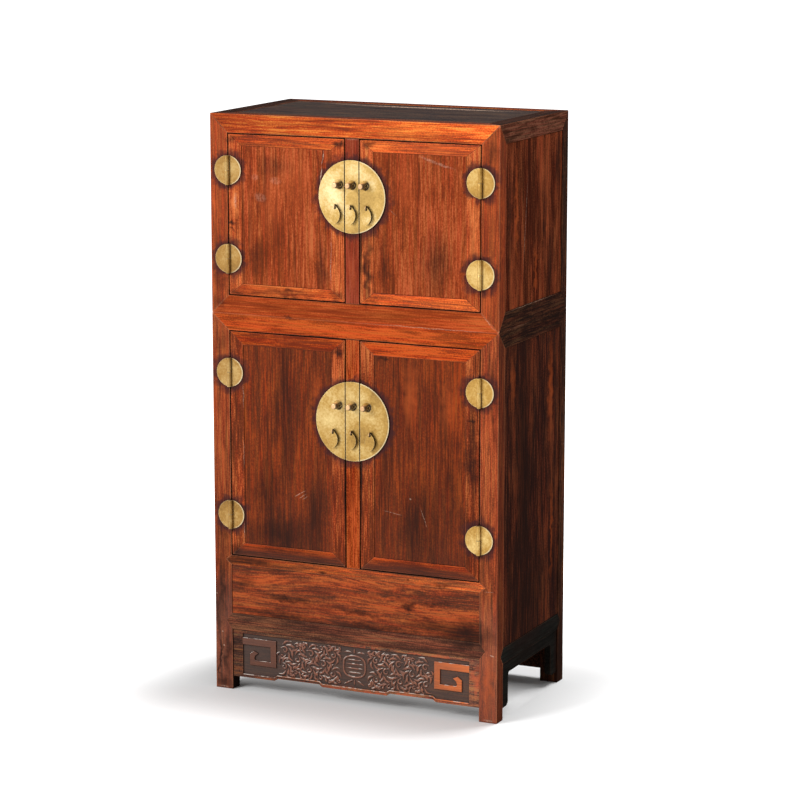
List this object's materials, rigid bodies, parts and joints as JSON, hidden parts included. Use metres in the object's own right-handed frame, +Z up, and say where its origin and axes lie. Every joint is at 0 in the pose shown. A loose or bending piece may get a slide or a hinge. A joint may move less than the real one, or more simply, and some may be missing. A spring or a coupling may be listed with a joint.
{
  "type": "compound cabinet",
  "caption": "Two-part hardwood cabinet: a small cupboard stands on a tall one with a hidden compartment; framed doors, round brass hinges and lock plates, carved apron.",
  "frame": {"origin": "on the floor, at the middle of the bounding box, which the lock loops reach forward", "axes": "+Z up, +Y towards the back, +X to the right of someone who faces the doors"},
  "size_m": [0.556, 0.332, 1.05],
  "materials": {
    "rosewood_frame": "waxed, worn edges",
    "rosewood_panel": "waxed",
    "rosewood_dark_panel": "waxed, darkened",
    "rosewood_apron": "carved and waxed",
    "inner_board": "planed, unfinished",
    "aged_brass": "aged, hand worn"
  },
  "bodies": {
    "lower_case": {"lower_front_posts": "rosewood_frame", "lower_back_posts": "rosewood_frame", "lower_top_rails": "rosewood_frame", "lower_top_end_rails": "rosewood_frame", "lower_top_panel": "rosewood_dark_panel", "door_sill_rail": "rosewood_frame", "belly_panel": "rosewood_panel", "lower_bottom_rails": "rosewood_frame", "lower_bottom_side_rails": "rosewood_frame", "belly_floor": "inner_board", "lower_side_panels": "rosewood_dark_panel", "lower_back_panel": "rosewood_dark_panel", "lower_centre_stile": "rosewood_frame", "front_apron": "rosewood_apron", "side_aprons": "rosewood_apron", "back_apron": "rosewood_apron", "bearers": "inner_board", "inner_shelf": "inner_board", "lower_post_hinges": "aged_brass", "lower_stile_lock_fittings": "aged_brass"},
    "upper_case": {"upper_front_posts": "rosewood_frame", "upper_back_posts": "rosewood_frame", "upper_top_rails": "rosewood_frame", "upper_top_end_rails": "rosewood_frame", "upper_top_panel": "rosewood_dark_panel", "upper_bottom_rails": "rosewood_frame", "upper_bottom_end_rails": "rosewood_frame", "upper_floor": "inner_board", "upper_side_panels": "rosewood_dark_panel", "upper_back_panel": "rosewood_dark_panel", "upper_centre_stile": "rosewood_frame", "upper_post_hinges": "aged_brass", "upper_stile_lock_fittings": "aged_brass"},
    "belly_lid": {"belly_lid": "inner_board"},
    "upper_left_door": {"upper_left_door_stiles": "rosewood_frame", "upper_left_door_rails": "rosewood_frame", "upper_left_door_panel": "rosewood_panel", "upper_left_door_hinge_leaves": "aged_brass", "upper_left_door_lock_fittings": "aged_brass"},
    "upper_right_door": {"upper_right_door_stiles": "rosewood_frame", "upper_right_door_rails": "rosewood_frame", "upper_right_door_panel": "rosewood_panel", "upper_right_door_hinge_leaves": "aged_brass", "upper_right_door_lock_fittings": "aged_brass"},
    "upper_left_pull": {"upper_left_pull": "aged_brass"},
    "upper_centre_pull": {"upper_centre_pull": "aged_brass"},
    "upper_right_pull": {"upper_right_pull": "aged_brass"},
    "lower_left_door": {"lower_left_door_stiles": "rosewood_frame", "lower_left_door_rails": "rosewood_frame", "lower_left_door_panel": "rosewood_panel", "lower_left_door_hinge_leaves": "aged_brass", "lower_left_door_lock_fittings": "aged_brass"},
    "lower_right_door": {"lower_right_door_stiles": "rosewood_frame", "lower_right_door_rails": "rosewood_frame", "lower_right_door_panel": "rosewood_panel", "lower_right_door_hinge_leaves": "aged_brass", "lower_right_door_lock_fittings": "aged_brass"},
    "lower_left_pull": {"lower_left_pull": "aged_brass"},
    "lower_centre_pull": {"lower_centre_pull": "aged_brass"},
    "lower_right_pull": {"lower_right_pull": "aged_brass"}
  },
  "joints": [
    {"name": "upper_case_lift", "type": "slide", "parent": "lower_case", "child": "upper_case", "axis": [0, 0, 1], "range_m": [0, 0.1]},
    {"name": "belly_lid_lift", "type": "slide", "parent": "lower_case", "child": "belly_lid", "axis": [0, 0, 1], "range_m": [0, 0.08]},
    {"name": "upper_left_door_hinge", "type": "hinge", "parent": "upper_case", "child": "upper_left_door", "pos_m": [-0.243, -0.1502, 0.87175], "axis": [0, 0, -1], "range_deg": [0, 170]},
    {"name": "upper_right_door_hinge", "type": "hinge", "parent": "upper_case", "child": "upper_right_door", "pos_m": [0.243, -0.1502, 0.87175], "axis": [0, 0, 1], "range_deg": [0, 170]},
    {"name": "upper_left_pull_swing", "type": "hinge", "parent": "upper_left_door", "child": "upper_left_pull", "pos_m": [-0.03, -0.1525, 0.89775], "axis": [-1, 0, 0], "range_deg": [-5, 100]},
    {"name": "upper_centre_pull_swing", "type": "hinge", "parent": "upper_case", "child": "upper_centre_pull", "pos_m": [0, -0.1525, 0.89775], "axis": [-1, 0, 0], "range_deg": [-5, 100]},
    {"name": "upper_right_pull_swing", "type": "hinge", "parent": "upper_right_door", "child": "upper_right_pull", "pos_m": [0.03, -0.1525, 0.89775], "axis": [-1, 0, 0], "range_deg": [-5, 100]},
    {"name": "lower_left_door_hinge", "type": "hinge", "parent": "lower_case", "child": "lower_left_door", "pos_m": [-0.243, -0.1502, 0.45775], "axis": [0, 0, -1], "range_deg": [0, 170]},
    {"name": "lower_right_door_hinge", "type": "hinge", "parent": "lower_case", "child": "lower_right_door", "pos_m": [0.243, -0.1502, 0.45775], "axis": [0, 0, 1], "range_deg": [0, 170]},
    {"name": "lower_left_pull_swing", "type": "hinge", "parent": "lower_left_door", "child": "lower_left_pull", "pos_m": [-0.036, -0.1525, 0.49875], "axis": [-1, 0, 0], "range_deg": [-5, 100]},
    {"name": "lower_centre_pull_swing", "type": "hinge", "parent": "lower_case", "child": "lower_centre_pull", "pos_m": [0, -0.1525, 0.49875], "axis": [-1, 0, 0], "range_deg": [-5, 100]},
    {"name": "lower_right_pull_swing", "type": "hinge", "parent": "lower_right_door", "child": "lower_right_pull", "pos_m": [0.036, -0.1525, 0.49875], "axis": [-1, 0, 0], "range_deg": [-5, 100]}
  ]
}
